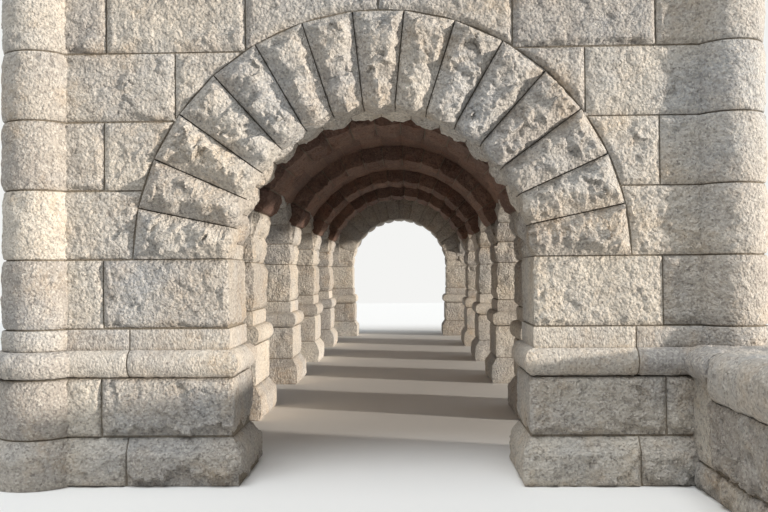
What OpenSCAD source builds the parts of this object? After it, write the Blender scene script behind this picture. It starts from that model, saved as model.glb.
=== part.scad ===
// A rock-faced granite archway with a vaulted, arcaded passage behind it.
// X runs across the doorway, Y into the passage and Z up, with the ground at Z = 0.

/* [Plan] */
// Clear width of the doorway at each end
door_w = 2480; // [2200:20:2600]
// Clear width of the passage between its piers
gallery_w = 3200; // [3000:50:3400]
// Width over the outer faces of the side arcades
outer_w = 5820; // [5700:20:6000]
// Thickness of the two end walls
end_wall_t = 620; // [500:20:700]
// Thickness of a pier along the passage
pier_t = 800; // [600:20:1000]
// Clear opening between two piers
bay_w = 2200; // [1800:50:2300]

/* [Courses] */
// Height of the bottom plinth
plinth_h = 380; // [300:10:450]
// Height of the second plinth
upper_plinth_h = 470; // [400:10:550]
// Height of the half-round torus
torus_h = 225; // [200:5:250]
// Height of the flat band over the torus
band_h = 170; // [120:5:200]
// Height of one course of wall stones
course_h = 560; // [500:10:600]
// Wall courses between the springing and the cornice
upper_courses = 5; // [5:1:7]

/* [Projections] */
// How far the bottom plinth stands out from the wall
plinth_out = 110; // [100:5:170]
// How far the second plinth stands out
upper_out = 45; // [40:5:95]
// How far the torus stands out
torus_out = 95; // [80:5:130]
// How far the band stands out
band_out = 15; // [10:5:60]
// Height of the weathered slope on top of the bottom plinth
slope_h = 110; // [40:5:150]
// Radius of the worn top edge of the second plinth
edge_r = 35; // [15:5:50]

/* [Arches] */
// Depth of the end arch ring from soffit to back
ring_depth = 760; // [600:20:900]
// Voussoirs in an end arch, with the keystone in the middle
voussoirs = 15; // [9:2:21]
// How far the faces of the end voussoirs stand out from the wall
voussoir_out = 55; // [30:5:80]
// Depth of a side arch ring
side_ring_depth = 360; // [250:10:390]
// Voussoirs in a side arch
side_voussoirs = 11; // [7:2:15]
// How far the faces of the side voussoirs stand out
side_voussoir_out = 30; // [20:5:50]
// Depth of a transverse arch ring
rib_depth = 350; // [300:10:500]
// Height of the vault over the soffit of the transverse arches
vault_recess = 200; // [100:10:250]

/* [Corner columns] */
// Radius of the shaft
column_r = 270; // [230:10:300]
// How far the column axis stands inside both wall faces
column_inset = 100; // [60:5:120]
// Height of the round capital
capital_h = 230; // [180:10:300]
// How far the capital stands out from the shaft
capital_out = 60; // [40:5:70]
// Depth of the joints between the drums
drum_joint = 8; // [4:1:15]

/* [Top] */
// Height of the cornice
cornice_h = 250; // [200:10:300]
// How far the cornice stands out from the wall
cornice_out = 300; // [280:10:340]
// How far the bed under the cornice stands out
cornice_bed_out = 240; // [240:5:260]
// Thickness of the paved deck over the vault
deck_t = 100; // [80:10:150]
// Height of the parapet under its coping
parapet_h = 430; // [300:10:600]
// Thickness of the parapet
parapet_t = 420; // [300:10:450]
// Height of the coping
coping_h = 160; // [120:10:200]
// How far the coping stands out from the parapet
coping_out = 60; // [30:5:80]
// How far the block at each corner of the parapet stands out from it
corner_out = 140; // [60:10:180]

/* [Wing wall] */
// Thickness of the low wall that runs forward from the right column
wing_t = 680; // [500:20:740]
// Blocks in the wing wall
wing_blocks = 3; // [1:1:6]
// Length of one block
wing_block_l = 1200; // [900:50:1300]
// Height of the kerb under it
kerb_h = 200; // [150:10:250]
// How far the kerb stands out
kerb_out = 10; // [5:5:60]
// Height of the wall between kerb and coping
wing_h = 520; // [450:10:600]
// Height of the bull-nosed coping
wing_coping_h = 340; // [280:10:360]
// How far the wing coping stands out
wing_coping_out = 60; // [40:5:110]
// Length of the shallow end of the coping, where it meets the torus of the base
coping_end_l = 200; // [100:10:300]

/* [Hidden] */
$fn = 96;
barrel_sides = 360;
over = 10;

// The bays and piers that the passage has
bays = 5;
piers = bays - 1;

torus_z = plinth_h + upper_plinth_h;
base_z = torus_z + torus_h + band_h;
spring_z = base_z + course_h;
wall_top = spring_z + upper_courses * course_h;

door_r = door_w / 2;
gallery_r = gallery_w / 2;
outer_x = outer_w / 2;
ring_r = door_r + ring_depth;
side_r = bay_w / 2;
vault_r = gallery_r + vault_recess;
rib_r = gallery_r + rib_depth;

bay_step = bay_w + pier_t;
length = 2 * end_wall_t + bays * bay_w + piers * pier_t;
column_x = outer_x - column_inset;

wing_x0 = column_x - wing_t / 2;
wing_start = column_inset - column_r - torus_out;
wing_end = wing_start - wing_blocks * wing_block_l;
coping_start = wing_start - coping_end_l;
wing_coping_z = kerb_h + wing_h;
wing_top = wing_coping_z + wing_coping_h;
coping_end_z = max(torus_z, wing_coping_z);

// The origin is at the middle of the whole part's base
rear_reach = length - column_inset + column_r + plinth_out;
middle_y = (rear_reach + wing_end) / 2;

stone = "#b3a48e";
pale_stone = "#bfb29d";
dark_stone = "#8f8373";
paving_stone = "#a39c90";

sides = ["left", "right"];
ends = ["front", "rear"];

// Near face of pier k, and the stretch of passage that bay k's vault covers
function pier_y(k) = end_wall_t + k * bay_w + (k - 1) * pier_t;
function bay_y(k) = end_wall_t + (k - 1) * bay_step;
function bay_start(k) = k == 1 ? end_wall_t : pier_y(k - 1) + pier_t / 2;
function bay_finish(k) = k == bays ? length - end_wall_t : pier_y(k) + pier_t / 2;

// Puts a piece of the front end in its place, or mirrors it to the rear end or the left side
module at_end(e, s = "right") {
    translate([0, e == "rear" ? length : 0, 0])
        mirror([0, e == "rear" ? 1 : 0, 0])
            mirror([s == "left" ? 1 : 0, 0, 0])
                children();
}

module on_side(s) {
    mirror([s == "left" ? 1 : 0, 0, 0])
        children();
}

module box(low, high) {
    translate(low)
        cube(high - low);
}

// Half of a slab seen from the side, with its top edge rounded
module slab_outline(half, bottom, top, r) {
    translate([0, bottom])
        square([half, top - bottom - r]);
    translate([0, top - r - 1])
        square([half - r, r + 1]);
    translate([half - r, top - r])
        circle(r);
}

// Half of the moulded base seen from the side: two plinths, torus and band
module base_outline(half) {
    torus_x = half + torus_out - torus_h / 2;
    polygon([
        [0, 0],
        [half + plinth_out, 0],
        [half + plinth_out, plinth_h - slope_h],
        [half + upper_out + 1, plinth_h],
        [0, plinth_h]
    ]);
    slab_outline(half + upper_out, 0, torus_z, edge_r);
    translate([0, torus_z - 1])
        square([torus_x, torus_h + 1]);
    translate([torus_x, torus_z + torus_h / 2])
        circle(d = torus_h);
    translate([0, torus_z + torus_h - 1])
        square([half + band_out, band_h + 1]);
}

module base_prism(span, depth) {
    rotate([90, 0, 0])
        linear_extrude(depth + 4 * plinth_out, center = true) {
            base_outline(span / 2);
            mirror([1, 0])
                base_outline(span / 2);
        }
}

// A block of masonry from the ground to the springing, with the base mitred round it
module support(low, high) {
    span = high - low;
    mid = (low + high) / 2;
    translate([mid[0], mid[1], 0])
        intersection() {
            base_prism(span[0], span[1]);
            rotate([0, 0, 90])
                base_prism(span[1], span[0]);
        }
    box([low[0], low[1], base_z - 1], [high[0], high[1], spring_z]);
}

// A half ring with its axis along Y, its face towards -Y cut into separate stone faces
module voussoir_ring(r_in, r_out, thickness, stand_out, count) {
    bevel = stand_out;
    difference() {
        rotate([90, 0, 0])
            rotate_extrude(angle = 180)
                polygon([
                    [r_in, -thickness], [r_out, -thickness], [r_out, 0],
                    [r_out - bevel, stand_out], [r_in + bevel, stand_out], [r_in, 0]
                ]);
        for (i = [1 : count - 1])
            rotate([0, -i * 180 / count, 0])
                translate([(r_in + r_out) / 2, 0, 0])
                    rotate([0, 90, 0])
                        linear_extrude(r_out - r_in + 2 * over, center = true)
                            polygon([
                                [-bevel - over, -stand_out - over],
                                [bevel + over, -stand_out - over],
                                [0, 0]
                            ]);
    }
}

// Half of the column seen from the side, with a groove at each course joint
module column_outline() {
    capital_z = wall_top - capital_h;
    abacus_h = capital_h / 4;
    difference() {
        union() {
            base_outline(column_r);
            translate([0, base_z - 1])
                square([column_r, wall_top - base_z + 1]);
        }
        for (z = [base_z : course_h : capital_z])
            polygon([
                [column_r - drum_joint, z],
                [column_r + band_out, z - drum_joint - band_out],
                [column_r + band_out, z + drum_joint + band_out]
            ]);
    }
    intersection() {
        translate([column_r + capital_out - capital_h, wall_top - abacus_h])
            circle(capital_h);
        translate([0, capital_z])
            square([column_r + capital_out, capital_h - abacus_h]);
    }
    translate([0, wall_top - abacus_h - 1])
        square([column_r + capital_out, abacus_h + 1]);
}

module front_column() {
    translate([column_x, column_inset, 0])
        rotate_extrude()
            column_outline();
}

// The wall beside the doorway, up to the springing
module front_jamb() {
    difference() {
        support([door_r, 0], [outer_x, end_wall_t]);
        front_column();
    }
}

// The wall beside and over the arch ring, from the springing to the cornice
module front_spandrel() {
    difference() {
        box([0, 0, spring_z], [outer_x, end_wall_t, wall_top]);
        translate([0, end_wall_t / 2, spring_z])
            rotate([90, 0, 0])
                cylinder(r = ring_r, h = end_wall_t + 2 * over, center = true);
        front_column();
    }
}

module front_arch() {
    translate([0, 0, spring_z])
        voussoir_ring(door_r, ring_r, end_wall_t, voussoir_out, voussoirs);
}

module pier(k) {
    support([gallery_r, pier_y(k)], [outer_x, pier_y(k) + pier_t]);
}

// A barrel along the passage, to be cut from what stands round it
module barrel(r, start, finish) {
    translate([0, start, spring_z])
        rotate([-90, 0, 0])
            cylinder(r = r, h = finish - start, $fn = barrel_sides);
}

// The opening of bay k right across the passage
module cross_barrel(k) {
    translate([0, bay_y(k) + side_r, spring_z])
        rotate([0, 90, 0])
            cylinder(r = side_r, h = outer_w + 2 * over, center = true, $fn = barrel_sides);
}

module rib_seats(k) {
    if (k > 1)
        barrel(rib_r, bay_start(k) - over, pier_y(k - 1) + pier_t);
    if (k < bays)
        barrel(rib_r, pier_y(k), bay_finish(k) + over);
}

module transverse_arch(k) {
    difference() {
        barrel(rib_r, pier_y(k), pier_y(k) + pier_t);
        barrel(gallery_r, pier_y(k) - over, pier_y(k) + pier_t + over);
        box([-rib_r - over, pier_y(k) - over, spring_z - rib_r - over],
            [rib_r + over, pier_y(k) + pier_t + over, spring_z]);
    }
}

module vault(k) {
    difference() {
        box([-gallery_r, bay_start(k), spring_z], [gallery_r, bay_finish(k), wall_top]);
        barrel(vault_r, bay_start(k) - over, bay_finish(k) + over);
        cross_barrel(k);
        rib_seats(k);
    }
}

// The side wall over bay k on the right, with the ring of its arch
module arcade(k) {
    difference() {
        box([gallery_r, bay_start(k), spring_z], [outer_x, bay_finish(k), wall_top]);
        cross_barrel(k);
        rib_seats(k);
        if (k == 1)
            front_column();
        if (k == bays)
            at_end("rear")
                front_column();
    }
    translate([outer_x, bay_y(k) + side_r, spring_z])
        rotate([0, 0, 90])
            voussoir_ring(side_r, side_r + side_ring_depth, over, side_voussoir_out, side_voussoirs);
}

module roof_deck() {
    box([-outer_x + parapet_t, parapet_t, wall_top],
        [outer_x - parapet_t, length - parapet_t, wall_top + deck_t]);
}

// A straight run of cornice along X from -half to half, its face towards -Y
module cornice_run(half) {
    bed_h = cornice_h / 2;
    rotate([90, 0, 90])
        linear_extrude(2 * half, center = true) {
            translate([-cornice_out, bed_h])
                square([cornice_out + parapet_t, cornice_h - bed_h]);
            translate([-cornice_bed_out + bed_h / 2, 0])
                square([cornice_bed_out - bed_h / 2 + parapet_t, bed_h + 1]);
            translate([-cornice_bed_out + bed_h / 2, bed_h / 2])
                circle(bed_h / 2);
        }
}

module cornice_end() {
    translate([0, 0, wall_top])
        cornice_run(outer_x + cornice_out);
}

module cornice_side() {
    translate([outer_x, length / 2, wall_top])
        rotate([0, 0, 90])
            cornice_run(length / 2 - parapet_t);
}

// Parapet wall along X with its coping, the outer face at Y = 0
module parapet_run(half) {
    box([-half, 0, 0], [half, parapet_t, parapet_h]);
    box([-half, -coping_out, parapet_h], [half, parapet_t + coping_out, parapet_h + coping_h]);
}

// The block over each corner column, with its cap over the coping
module corner_block() {
    side = parapet_t + corner_out;
    height = parapet_h + coping_h;
    translate([outer_x - parapet_t, -corner_out, 0]) {
        cube([side, side, height]);
        translate([-coping_out, -coping_out, height])
            cube([side + 2 * coping_out, side + 2 * coping_out, coping_h]);
    }
}

module parapet_end() {
    translate([0, 0, wall_top + cornice_h]) {
        parapet_run(outer_x - parapet_t + over);
        for (s = sides)
            on_side(s)
                corner_block();
    }
}

module parapet_side() {
    translate([outer_x, length / 2, wall_top + cornice_h])
        rotate([0, 0, 90])
            parapet_run(length / 2 - parapet_t);
}

module wing_kerb() {
    difference() {
        box([wing_x0 - kerb_out, wing_end, 0], [wing_x0 + wing_t + kerb_out, -plinth_out, kerb_h]);
        front_column();
    }
}

// The wing wall rises to the level of the torus beside the column, and meets the second plinth
module wing_wall() {
    difference() {
        union() {
            box([wing_x0, wing_end, kerb_h], [wing_x0 + wing_t, -plinth_out, wing_coping_z]);
            box([wing_x0, coping_start, plinth_h], [wing_x0 + wing_t, -upper_out, coping_end_z]);
        }
        front_column();
    }
}

// A bar along Y up to the top of the coping, bull-nosed on both sides
module bull_nosed_bar(start, finish, bottom) {
    height = wing_top - bottom;
    half = wing_t / 2 + wing_coping_out - height / 2;
    translate([column_x, start, bottom])
        rotate([90, 0, 0])
            linear_extrude(start - finish) {
                translate([-half, 0])
                    square([2 * half, height]);
                for (x = [-half, half])
                    translate([x, height / 2])
                        circle(height / 2);
            }
}

// The coping is as deep as the torus where it meets the wall, and deeper from there on
module wing_coping() {
    difference() {
        union() {
            bull_nosed_bar(coping_start, wing_end, wing_coping_z);
            bull_nosed_bar(-torus_out, coping_start - over, coping_end_z);
        }
        front_column();
    }
}

module placed() {
    translate([0, -middle_y, 0])
        children();
}

for (e = ends, s = sides) {
    color(stone) placed() at_end(e, s) front_jamb();
    color(stone) placed() at_end(e, s) front_spandrel();
    color(pale_stone) placed() at_end(e, s) front_column();
}
for (e = ends) {
    color(pale_stone) placed() at_end(e) front_arch();
    color(pale_stone) placed() at_end(e) cornice_end();
    color(stone) placed() at_end(e) parapet_end();
}
for (s = sides) {
    color(pale_stone) placed() on_side(s) cornice_side();
    color(stone) placed() on_side(s) parapet_side();
}
for (s = sides, k = [1 : piers])
    color(stone) placed() on_side(s) pier(k);
for (s = sides, k = [1 : bays])
    color(stone) placed() on_side(s) arcade(k);
for (k = [1 : piers])
    color(pale_stone) placed() transverse_arch(k);
for (k = [1 : bays])
    color(dark_stone) placed() vault(k);
color(paving_stone) placed() roof_deck();
color(stone) placed() wing_kerb();
color(stone) placed() wing_wall();
color(pale_stone) placed() wing_coping();
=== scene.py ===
import math

import bmesh
import bpy
from mathutils import Matrix, Vector


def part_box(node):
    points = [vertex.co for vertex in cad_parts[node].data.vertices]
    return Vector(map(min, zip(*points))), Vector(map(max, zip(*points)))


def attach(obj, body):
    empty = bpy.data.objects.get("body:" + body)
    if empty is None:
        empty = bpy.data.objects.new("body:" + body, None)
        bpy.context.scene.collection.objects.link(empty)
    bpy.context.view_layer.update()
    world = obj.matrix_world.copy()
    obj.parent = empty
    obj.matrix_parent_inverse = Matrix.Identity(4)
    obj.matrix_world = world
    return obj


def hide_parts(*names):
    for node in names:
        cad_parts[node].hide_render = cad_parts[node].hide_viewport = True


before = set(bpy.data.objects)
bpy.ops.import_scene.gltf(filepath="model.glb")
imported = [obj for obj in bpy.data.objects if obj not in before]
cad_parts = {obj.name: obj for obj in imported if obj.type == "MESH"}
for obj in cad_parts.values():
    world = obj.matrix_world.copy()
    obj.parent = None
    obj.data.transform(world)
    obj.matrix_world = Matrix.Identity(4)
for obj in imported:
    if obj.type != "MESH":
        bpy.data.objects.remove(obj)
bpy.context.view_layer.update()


def linear(hexCode):
    # sRGB hex to the linear colour that the shaders take
    parts = [int(hexCode[i : i + 2], 16) / 255 for i in (1, 3, 5)]
    return [c / 12.92 if c <= 0.04045 else ((c + 0.055) / 1.055) ** 2.4 for c in parts] + [1.0]


def addNode(tree, kind, settings=None, inputs=None):
    node = tree.nodes.new(kind)
    for key, value in (settings or {}).items():
        setattr(node, key, value)
    for key, value in (inputs or {}).items():
        # a node stands for its first output
        if isinstance(value, bpy.types.Node):
            value = value.outputs[0]
        if isinstance(value, bpy.types.NodeSocket):
            tree.links.new(value, node.inputs[key])
        else:
            node.inputs[key].default_value = value
    return node


# Where the building stands, read from the frame's boxes, and its levels in metres
house = {
    "front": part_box("front_spandrel_left")[0].y,
    "rear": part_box("rear_spandrel_left")[1].y,
    "outer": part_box("front_spandrel_right")[1].x,
    "wallTop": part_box("front_spandrel_right")[1].z,
    "spring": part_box("front_arch")[0].z,
    "endWall": 0.62,
    "course": 0.56,
}
# The moulded base: each layer's foot, top and how far it stands out from the wall
base = {
    "plinth": (0.0, 0.38, 0.11),
    "upper": (0.38, 0.85, 0.045),
    "torus": (0.85, 1.075, 0.095),
    "band": (1.075, 1.245, 0.015),
    "course": (1.245, 1.805, 0.0),
}
# the plinth slopes back to the upper one over this height, and the slope is this rough
slope, weathering = 0.11, 0.18
# half the height of the flat strip that is left along the middle of the torus
torusFlat = 0.012
rockLayers, mouldedLayers = ("plinth", "upper"), ("torus", "band")
gallery = {"half": 1.6, "vault": 1.8, "pier": 0.8, "bay": 2.2, "bays": 5}
# Stones stand skin in front of the CAD faces, which show as mortar in the gaps, and go in
# to depth. A stone's face has the roughness 1, and what is hidden 0
joint = {"gap": 0.012, "skin": 0.012, "depth": 0.06}
wallFace = {"-y": 1.0}
drumSides = 72
half = joint["gap"] / 2
skin = joint["skin"]
front = house["front"]
spring = house["spring"]
middleY = (house["front"] + house["rear"]) / 2
bayStep = gallery["bay"] + gallery["pier"]


# Stones: each is a block shaped in edit mode, its faces marked with how rough they are


def startPiece(name):
    bpy.ops.object.select_all(action="DESELECT")
    bpy.ops.mesh.primitive_cube_add(size=1)
    piece = bpy.context.object
    piece.name = piece.data.name = name
    piece.data.attributes.new("rough", "FLOAT", "FACE")
    piece.data.attributes.new("done", "FLOAT", "POINT")
    piece.data.attributes.new("foot", "FLOAT", "POINT")
    bpy.ops.object.mode_set(mode="EDIT")
    bpy.ops.mesh.delete(type="VERT")
    return piece


def editMesh():
    return bmesh.from_edit_mesh(bpy.context.object.data)


def ownVerts(shape):
    # the vertices of the block being shaped: those of finished blocks are marked done
    done = shape.verts.layers.float["done"]
    return {vert for vert in shape.verts if vert[done] < 0.5}


def selectOwn(mode, test):
    # selects what the test picks: by place, and for edges also direction, for faces normal
    bpy.ops.mesh.select_mode(type=mode)
    bpy.ops.mesh.select_all(action="DESELECT")
    shape = editMesh()
    own = ownVerts(shape)
    if mode == "VERT":
        for vert in own:
            vert.select = test(vert.co)
    elif mode == "EDGE":
        for edge in shape.edges:
            a, b = edge.verts
            edge.select = a in own and test((a.co + b.co) / 2, b.co - a.co)
    else:
        for face in shape.faces:
            face.select = face.verts[0] in own and test(face.calc_center_median(), face.normal)
    shape.select_flush_mode()
    bmesh.update_edit_mesh(bpy.context.object.data)


def markFaces(rule):
    shape = editMesh()
    own = ownVerts(shape)
    rough = shape.faces.layers.float["rough"]
    for face in shape.faces:
        if face.verts[0] in own:
            face[rough] = rule(face.calc_center_median(), face.normal)
    bmesh.update_edit_mesh(bpy.context.object.data)


def closeStone():
    # marks the block done, and keeps the height of its foot
    shape = editMesh()
    own = ownVerts(shape)
    done = shape.verts.layers.float["done"]
    foot = shape.verts.layers.float["foot"]
    lowest = min(vert.co.z for vert in own)
    for vert in own:
        vert[done] = 1.0
        vert[foot] = lowest
    bmesh.update_edit_mesh(bpy.context.object.data)


def bySide(shown):
    # a rule that gives each face the roughness of the side it looks to, such as "-y"
    def rule(centre, normal):
        axis = max(range(3), key=lambda i: abs(normal[i]))
        side = ("-" if normal[axis] < 0 else "+") + "xyz"[axis]
        return shown.get(side, 0.0)

    return rule


def addBlock(low, high):
    size = [b - a for a, b in zip(low, high)]
    middle = [(a + b) / 2 for a, b in zip(low, high)]
    bpy.ops.mesh.primitive_cube_add(size=1, location=middle, scale=size)


def addStone(low, high, shown):
    addBlock(low, high)
    markFaces(bySide(shown))
    closeStone()


def addRoundedStone(low, high, shown, width, segments, edges, smooth=None):
    # A block with some of its long edges rounded; smooth is the roughness of the roundings
    addBlock(low, high)
    selectOwn("EDGE", edges)
    bpy.ops.mesh.bevel(offset=width, segments=segments, affect="EDGES")
    rule = bySide(shown)

    def roundedRule(centre, normal):
        flat = max(abs(c) for c in normal) > 0.999
        return rule(centre, normal) if flat or smooth is None else smooth

    markFaces(roundedRule)
    closeStone()


def addSlopedStone(low, high, shown, inset):
    # A plinth block: its top is drawn in by inset on the sides that show, over the height slope
    foot = high[2] - slope
    addBlock(low, (high[0], high[1], foot))
    selectOwn("FACE", lambda c, n: n.z > 0.9)
    bpy.ops.mesh.extrude_region_move(TRANSFORM_OT_translate={"value": (0, 0, slope)})
    for side in shown:
        axis = "xyz".index(side[1])
        edge, step = (low[axis], inset) if side[0] == "-" else (high[axis], -inset)
        selectOwn("VERT", lambda c: c.z > foot + slope / 2 and abs(c[axis] - edge) < 1e-4)
        move = Vector((0, 0, 0))
        move[axis] = step
        bpy.ops.transform.translate(value=move)
    rule = bySide(shown)
    markFaces(lambda c, n: weathering if 0.1 < n.z < 0.95 else rule(c, n))
    closeStone()


def addStripStone(levels, edges, y0, y1, shown, upright=True):
    # A block built up strip by strip: at each level, edges gives its two ends.
    # Upright strips are stacked in Z with ends in X; others run in X with ends in Z.
    sweep, across = (2, 0) if upright else (0, 2)
    ends = edges(levels[0])
    if upright:
        addBlock((ends[0], y0, levels[0]), (ends[1], y1, levels[1]))
    else:
        addBlock((levels[0], y0, ends[0]), (levels[1], y1, ends[1]))
    for i in range(1, len(levels)):
        level, last = levels[i], levels[i - 1]
        if i > 1:
            selectOwn("FACE", lambda c, n: abs(c[sweep] - last) < 1e-5 and n[sweep] > 0.9)
            step = Vector((0, 0, 0))
            step[sweep] = level - last
            bpy.ops.mesh.extrude_region_move(TRANSFORM_OT_translate={"value": step})
        new = edges(level)
        for old, end in zip(ends, new):
            selectOwn("VERT", lambda c: abs(c[sweep] - level) + abs(c[across] - old) < 2e-5)
            step = Vector((0, 0, 0))
            step[across] = end - old
            bpy.ops.transform.translate(value=step)
        ends = new
    markFaces(bySide(shown))
    closeStone()


def evenly(low, high, parts):
    return [low + (high - low) * i / parts for i in range(parts + 1)]


def arcX(radius, z):
    rise = z - spring
    return math.sqrt(max(radius * radius - rise * rise, 0.0))


def arcZ(radius, x):
    return spring + math.sqrt(max(radius * radius - x * x, 0.0))


def addFlankStone(ring, edge, low, high, side, depth, parts):
    # a wall stone on one side of an arch, from the ring, which it is cut to, out to edge
    def ends(z):
        inner = arcX(ring, z)
        return (inner, edge) if side > 0 else (-edge, -inner)

    addStripStone(evenly(low, high, parts), ends, depth[0], depth[1], wallFace)


def addCrownStone(ring, a, b, low, high, side, depth):
    # a wall stone over an arch, from a to b, cut to the ring where that rises above low
    levels = evenly(a, b, 4)
    levels = levels if side > 0 else [-v for v in reversed(levels)]

    def ends(x):
        return (max(low, arcZ(ring, x)), high)

    addStripStone(levels, ends, depth[0], depth[1], wallFace, upright=False)


def ringTurns(count, broken=False):
    # each stone's angle from upright and its width, both in degrees, round half a circle;
    # a broken ring ends in half stones, so that its joints lie between those of the other
    step = 180 / count
    if not broken:
        return [((i - (count - 1) / 2) * step, step) for i in range(count)]
    turns = [((i - (count - 2) / 2) * step, step) for i in range(count - 1)]
    return turns + [(side * (90 - step / 4), step / 2) for side in (-1, 1)]


def addVoussoir(radii, turn, depth, shown, gap=joint["gap"]):
    # A tapered block over the middle of the springing, turned to its place round it
    (rIn, rOut), (angle, width) = radii, turn
    slant = math.radians(width / 2)
    top = 2 * rOut * math.tan(slant) - gap
    bottom = 2 * rIn * math.tan(slant) - gap
    addBlock((-top / 2, depth[0], spring + rIn), (top / 2, depth[1], spring + rOut))
    markFaces(bySide(shown))
    selectOwn("VERT", lambda c: c.z < spring + (rIn + rOut) / 2)
    bpy.ops.transform.resize(value=(bottom / top, 1, 1), center_override=(0, 0, 0))
    selectOwn("VERT", lambda c: True)
    bpy.ops.transform.rotate(
        value=math.radians(angle), orient_axis="Y", center_override=(0, 0, spring)
    )
    closeStone()


def addDrum(x, y, radius, z0, z1, roughness, rim, segments):
    # A round block with its rims rounded by the width of rim
    bpy.ops.mesh.primitive_cylinder_add(
        vertices=drumSides, radius=radius, depth=z1 - z0, location=(x, y, (z0 + z1) / 2)
    )
    selectOwn("EDGE", lambda c, d: abs(d.z) < 1e-5 and abs(d.x) + abs(d.y) < 0.2 and c.z > 0.001)
    bpy.ops.mesh.bevel(offset=rim, segments=segments, affect="EDGES")
    markFaces(lambda c, n: 0.0 if abs(n.z) > 0.99 else roughness)
    closeStone()


def addSlopedDrum(x, y, radius, z1, roughness, inset):
    # A round plinth on the ground, its top drawn in by inset over the height slope
    bpy.ops.mesh.primitive_cylinder_add(
        vertices=drumSides, radius=radius, depth=z1 - slope, location=(x, y, (z1 - slope) / 2)
    )
    selectOwn("FACE", lambda c, n: n.z > 0.9)
    bpy.ops.mesh.extrude_region_move(TRANSFORM_OT_translate={"value": (0, 0, slope)})
    share = 1 - inset / radius
    bpy.ops.transform.resize(value=(share, share, 1), center_override=(x, y, z1))
    markFaces(lambda c, n: 0.0 if abs(n.z) > 0.99 else weathering if n.z > 0.1 else roughness)
    closeStone()


def refine(cell):
    # halves the long edges of the faces that show, until they are about one cell long
    mesh = bpy.context.object.data
    bpy.ops.mesh.select_mode(type="EDGE")
    mostHalvings = 9
    for _ in range(mostHalvings):
        bpy.ops.mesh.select_all(action="DESELECT")
        shape = editMesh()
        rough = shape.faces.layers.float["rough"]
        found = False
        for edge in shape.edges:
            if edge.calc_length() > 1.45 * cell and any(f[rough] > 0 for f in edge.link_faces):
                edge.select = found = True
        shape.select_flush_mode()
        bmesh.update_edit_mesh(mesh)
        if not found:
            break
        bpy.ops.mesh.subdivide(number_cuts=1)


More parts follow.
